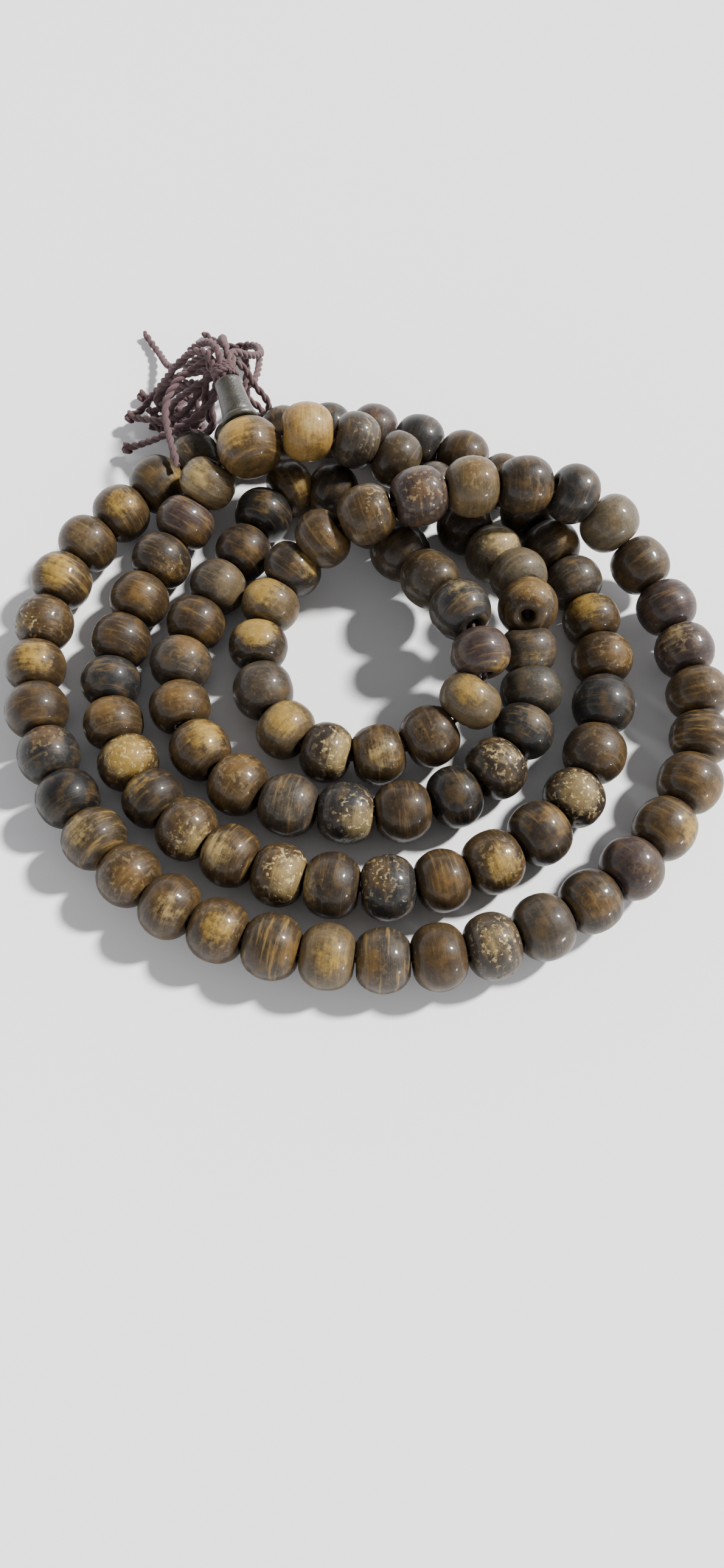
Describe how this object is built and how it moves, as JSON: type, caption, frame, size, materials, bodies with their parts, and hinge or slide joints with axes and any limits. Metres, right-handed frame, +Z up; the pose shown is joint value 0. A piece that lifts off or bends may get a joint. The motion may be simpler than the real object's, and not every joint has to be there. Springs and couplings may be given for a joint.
{
  "type": "mala prayer beads",
  "caption": "Long loop of dyed bone beads on a cord, lying in four turns, with a guru bead, a tapered tower bead and a tassel of twisted cords.",
  "frame": {"origin": "centre of the bottom of the bounding box without the tassel strands; the table is Z = 0", "axes": "+Z up from the table, +Y from the front of the rings toward the tower and tassel, +X to the right"},
  "size_m": [0.1177, 0.132, 0.0207],
  "materials": {
    "dyed_bone": "brown-dyed bone, semi-gloss with amber patches",
    "amber_bone": "amber-brown bone, polished, with turned grooves",
    "grey_green_tower": "dark grey-green, satin",
    "brown_cord": "brown waxed stringing cord",
    "mauve_brown_cord": "twisted mauve-brown cord, dull"
  },
  "bodies": {
    "strand": {"string_cord": "brown_cord", "bead_run_second_ring_left": "dyed_bone", "bead_run_second_ring_right": "dyed_bone", "bead_run_inner_ring": "dyed_bone", "bead_run_inner_climb": "dyed_bone", "bead_run_middle_ring": "dyed_bone", "bead_run_to_guru": "dyed_bone"},
    "bead_027": {"bead_027": "dyed_bone"},
    "bead_028": {"bead_028": "dyed_bone"},
    "bead_029": {"bead_029": "dyed_bone"},
    "bead_030": {"bead_030": "dyed_bone"},
    "bead_031": {"bead_031": "dyed_bone"},
    "bead_032": {"bead_032": "dyed_bone"},
    "bead_033": {"bead_033": "dyed_bone"},
    "bead_034": {"bead_034": "dyed_bone"},
    "bead_035": {"bead_035": "dyed_bone"},
    "bead_036": {"bead_036": "dyed_bone"},
    "bead_037": {"bead_037": "dyed_bone"},
    "bead_038": {"bead_038": "dyed_bone"},
    "bead_039": {"bead_039": "dyed_bone"},
    "bead_040": {"bead_040": "dyed_bone"},
    "bead_041": {"bead_041": "dyed_bone"},
    "bead_042": {"bead_042": "dyed_bone"},
    "bead_043": {"bead_043": "dyed_bone"},
    "bead_044": {"bead_044": "dyed_bone"},
    "bead_045": {"bead_045": "dyed_bone"},
    "bead_046": {"bead_046": "dyed_bone"},
    "bead_047": {"bead_047": "dyed_bone"},
    "bead_048": {"bead_048": "dyed_bone"},
    "bead_049": {"bead_049": "dyed_bone"},
    "bead_050": {"bead_050": "dyed_bone"},
    "bead_051": {"bead_051": "dyed_bone"},
    "bead_052": {"bead_052": "dyed_bone"},
    "bead_053": {"bead_053": "dyed_bone"},
    "bead_054": {"bead_054": "dyed_bone"},
    "bead_055": {"bead_055": "dyed_bone"},
    "bead_056": {"bead_056": "dyed_bone"},
    "bead_057": {"bead_057": "dyed_bone"},
    "bead_058": {"bead_058": "dyed_bone"},
    "bead_059": {"bead_059": "dyed_bone"},
    "bead_060": {"bead_060": "dyed_bone"},
    "bead_061": {"bead_061": "dyed_bone"},
    "bead_062": {"bead_062": "dyed_bone"},
    "bead_063": {"bead_063": "dyed_bone"},
    "bead_064": {"bead_064": "dyed_bone"},
    "bead_065": {"bead_065": "dyed_bone"},
    "bead_066": {"bead_066": "dyed_bone"},
    "bead_067": {"bead_067": "dyed_bone"},
    "guru": {"guru_bead": "amber_bone", "tower_stem": "mauve_brown_cord", "tassel_knot": "mauve_brown_cord", "strand_far_left": "mauve_brown_cord", "strand_back_loop": "mauve_brown_cord", "strand_left": "mauve_brown_cord", "strand_knotted": "mauve_brown_cord", "strand_near_left": "mauve_brown_cord", "strand_over_beads": "mauve_brown_cord", "strand_right": "mauve_brown_cord", "strand_top_arc": "mauve_brown_cord"},
    "tower": {"guru_tower": "grey_green_tower"}
  },
  "joints": [
    {"name": "guru_swing", "type": "hinge", "parent": "strand", "child": "guru", "pos_m": [-0.0197, 0.0375, 0.0135], "axis": [0.9045, 0.3015, 0.3015], "range_deg": [0, 90]},
    {"name": "tower_spin", "type": "hinge", "parent": "guru", "child": "tower", "pos_m": [-0.02118, 0.04201, 0.01435], "axis": [-0.308, 0.935, 0.176], "continuous": true},
    {"name": "bead_027_spin", "type": "hinge", "parent": "strand", "child": "bead_027", "pos_m": [0.01737, 0.04254, 0.00485], "axis": [-0.8924, 0.4512, 0], "continuous": true},
    {"name": "bead_028_spin", "type": "hinge", "parent": "strand", "child": "bead_028", "pos_m": [0.00973, 0.04596, 0.00485], "axis": [-0.9304, 0.3665, 0], "continuous": true},
    {"name": "bead_029_spin", "type": "hinge", "parent": "strand", "child": "bead_029", "pos_m": [0.00167, 0.04842, 0.00485], "axis": [-0.9773, 0.2116, 0], "continuous": true},
    {"name": "bead_030_spin", "type": "hinge", "parent": "strand", "child": "bead_030", "pos_m": [-0.00649, 0.04922, 0.00485], "axis": [-0.9997, -0.0249, 0], "continuous": true},
    {"name": "bead_031_spin", "type": "hinge", "parent": "strand", "child": "bead_031", "pos_m": [-0.01461, 0.04808, 0.00485], "axis": [-0.9696, -0.2448, 0], "continuous": true},
    {"name": "bead_032_spin", "type": "hinge", "parent": "strand", "child": "bead_032", "pos_m": [-0.02241, 0.04587, 0.00485], "axis": [-0.9543, -0.2987, 0], "continuous": true},
    {"name": "bead_033_spin", "type": "hinge", "parent": "strand", "child": "bead_033", "pos_m": [-0.03016, 0.04218, 0.00485], "axis": [-0.8306, -0.5569, 0], "continuous": true},
    {"name": "bead_034_spin", "type": "hinge", "parent": "strand", "child": "bead_034", "pos_m": [-0.03669, 0.03655, 0.00485], "axis": [-0.6785, -0.7346, 0], "continuous": true},
    {"name": "bead_035_spin", "type": "hinge", "parent": "strand", "child": "bead_035", "pos_m": [-0.04247, 0.03048, 0.00485], "axis": [-0.7012, -0.7129, 0], "continuous": true},
    {"name": "bead_036_spin", "type": "hinge", "parent": "strand", "child": "bead_036", "pos_m": [-0.04775, 0.02383, 0.00485], "axis": [-0.5287, -0.8488, 0], "continuous": true},
    {"name": "bead_037_spin", "type": "hinge", "parent": "strand", "child": "bead_037", "pos_m": [-0.05134, 0.01618, 0.00485], "axis": [-0.3211, -0.947, 0], "continuous": true},
    {"name": "bead_038_spin", "type": "hinge", "parent": "strand", "child": "bead_038", "pos_m": [-0.05334, 0.00787, 0.00485], "axis": [-0.145, -0.9894, 0], "continuous": true},
    {"name": "bead_039_spin", "type": "hinge", "parent": "strand", "child": "bead_039", "pos_m": [-0.05377, -0.00046, 0.00485], "axis": [0.0472, -0.9989, 0], "continuous": true},
    {"name": "bead_040_spin", "type": "hinge", "parent": "strand", "child": "bead_040", "pos_m": [-0.0525, -0.00865, 0.00485], "axis": [0.2545, -0.9671, 0], "continuous": true},
    {"name": "bead_041_spin", "type": "hinge", "parent": "strand", "child": "bead_041", "pos_m": [-0.04972, -0.01658, 0.00485], "axis": [0.4037, -0.9149, 0], "continuous": true},
    {"name": "bead_042_spin", "type": "hinge", "parent": "strand", "child": "bead_042", "pos_m": [-0.04589, -0.02391, 0.00485], "axis": [0.5227, -0.8525, 0], "continuous": true},
    {"name": "bead_043_spin", "type": "hinge", "parent": "strand", "child": "bead_043", "pos_m": [-0.04112, -0.03056, 0.00485], "axis": [0.6391, -0.7691, 0], "continuous": true},
    {"name": "bead_044_spin", "type": "hinge", "parent": "strand", "child": "bead_044", "pos_m": [-0.0354, -0.03648, 0.00485], "axis": [0.7468, -0.6651, 0], "continuous": true},
    {"name": "bead_045_spin", "type": "hinge", "parent": "strand", "child": "bead_045", "pos_m": [-0.02889, -0.04133, 0.00485], "axis": [0.8524, -0.5229, 0], "continuous": true},
    {"name": "bead_046_spin", "type": "hinge", "parent": "strand", "child": "bead_046", "pos_m": [-0.02155, -0.04495, 0.00485], "axis": [0.9328, -0.3604, 0], "continuous": true},
    {"name": "bead_047_spin", "type": "hinge", "parent": "strand", "child": "bead_047", "pos_m": [-0.01359, -0.04742, 0.00485], "axis": [0.9727, -0.2321, 0], "continuous": true},
    {"name": "bead_048_spin", "type": "hinge", "parent": "strand", "child": "bead_048", "pos_m": [-0.00551, -0.04889, 0.00485], "axis": [0.9922, -0.1244, 0], "continuous": true},
    {"name": "bead_049_spin", "type": "hinge", "parent": "strand", "child": "bead_049", "pos_m": [0.00255, -0.04943, 0.00485], "axis": [1, -0.0094, 0], "continuous": true},
    {"name": "bead_050_spin", "type": "hinge", "parent": "strand", "child": "bead_050", "pos_m": [0.01062, -0.04897, 0.00485], "axis": [0.9922, 0.1247, 0], "continuous": true},
    {"name": "bead_051_spin", "type": "hinge", "parent": "strand", "child": "bead_051", "pos_m": [0.01849, -0.04734, 0.00485], "axis": [0.9601, 0.2798, 0], "continuous": true},
    {"name": "bead_052_spin", "type": "hinge", "parent": "strand", "child": "bead_052", "pos_m": [0.02611, -0.04451, 0.00485], "axis": [0.9106, 0.4132, 0], "continuous": true},
    {"name": "bead_053_spin", "type": "hinge", "parent": "strand", "child": "bead_053", "pos_m": [0.03339, -0.0405, 0.00485], "axis": [0.8368, 0.5475, 0], "continuous": true},
    {"name": "bead_054_spin", "type": "hinge", "parent": "strand", "child": "bead_054", "pos_m": [0.03993, -0.03531, 0.00485], "axis": [0.7221, 0.6918, 0], "continuous": true},
    {"name": "bead_055_spin", "type": "hinge", "parent": "strand", "child": "bead_055", "pos_m": [0.04564, -0.02887, 0.00485], "axis": [0.6057, 0.7957, 0], "continuous": true},
    {"name": "bead_056_spin", "type": "hinge", "parent": "strand", "child": "bead_056", "pos_m": [0.05035, -0.02141, 0.00485], "axis": [0.4547, 0.8907, 0], "continuous": true},
    {"name": "bead_057_spin", "type": "hinge", "parent": "strand", "child": "bead_057", "pos_m": [0.05315, -0.0135, 0.00485], "axis": [0.1904, 0.9817, 0], "continuous": true},
    {"name": "bead_058_spin", "type": "hinge", "parent": "strand", "child": "bead_058", "pos_m": [0.05355, -0.00543, 0.00485], "axis": [-0.0851, 0.9964, 0], "continuous": true},
    {"name": "bead_059_spin", "type": "hinge", "parent": "strand", "child": "bead_059", "pos_m": [0.05246, 0.00244, 0.00497], "axis": [-0.1866, 0.982, 0.0298], "continuous": true},
    {"name": "bead_060_spin", "type": "hinge", "parent": "strand", "child": "bead_060", "pos_m": [0.05022, 0.0104, 0.00561], "axis": [-0.3525, 0.9276, 0.1234], "continuous": true},
    {"name": "bead_061_spin", "type": "hinge", "parent": "strand", "child": "bead_061", "pos_m": [0.04632, 0.01788, 0.00708], "axis": [-0.5492, 0.8071, 0.2166], "continuous": true},
    {"name": "bead_062_spin", "type": "hinge", "parent": "strand", "child": "bead_062", "pos_m": [0.04119, 0.02407, 0.00992], "axis": [-0.6422, 0.6212, 0.4491], "continuous": true},
    {"name": "bead_063_spin", "type": "hinge", "parent": "strand", "child": "bead_063", "pos_m": [0.03453, 0.02754, 0.01354], "axis": [-0.9078, 0.1654, 0.3854], "continuous": true},
    {"name": "bead_064_spin", "type": "hinge", "parent": "strand", "child": "bead_064", "pos_m": [0.02619, 0.0279, 0.01542], "axis": [-0.9953, -0.0618, 0.0748], "continuous": true},
    {"name": "bead_065_spin", "type": "hinge", "parent": "strand", "child": "bead_065", "pos_m": [0.01764, 0.02716, 0.01579], "axis": [-0.9939, -0.1103, 0.0101], "continuous": true},
    {"name": "bead_066_spin", "type": "hinge", "parent": "strand", "child": "bead_066", "pos_m": [0.00894, 0.02536, 0.01566], "axis": [-0.9559, -0.2911, -0.0382], "continuous": true},
    {"name": "bead_067_spin", "type": "hinge", "parent": "strand", "child": "bead_067", "pos_m": [0.00027, 0.023, 0.01403], "axis": [-0.9226, -0.2189, -0.3178], "continuous": true}
  ]
}
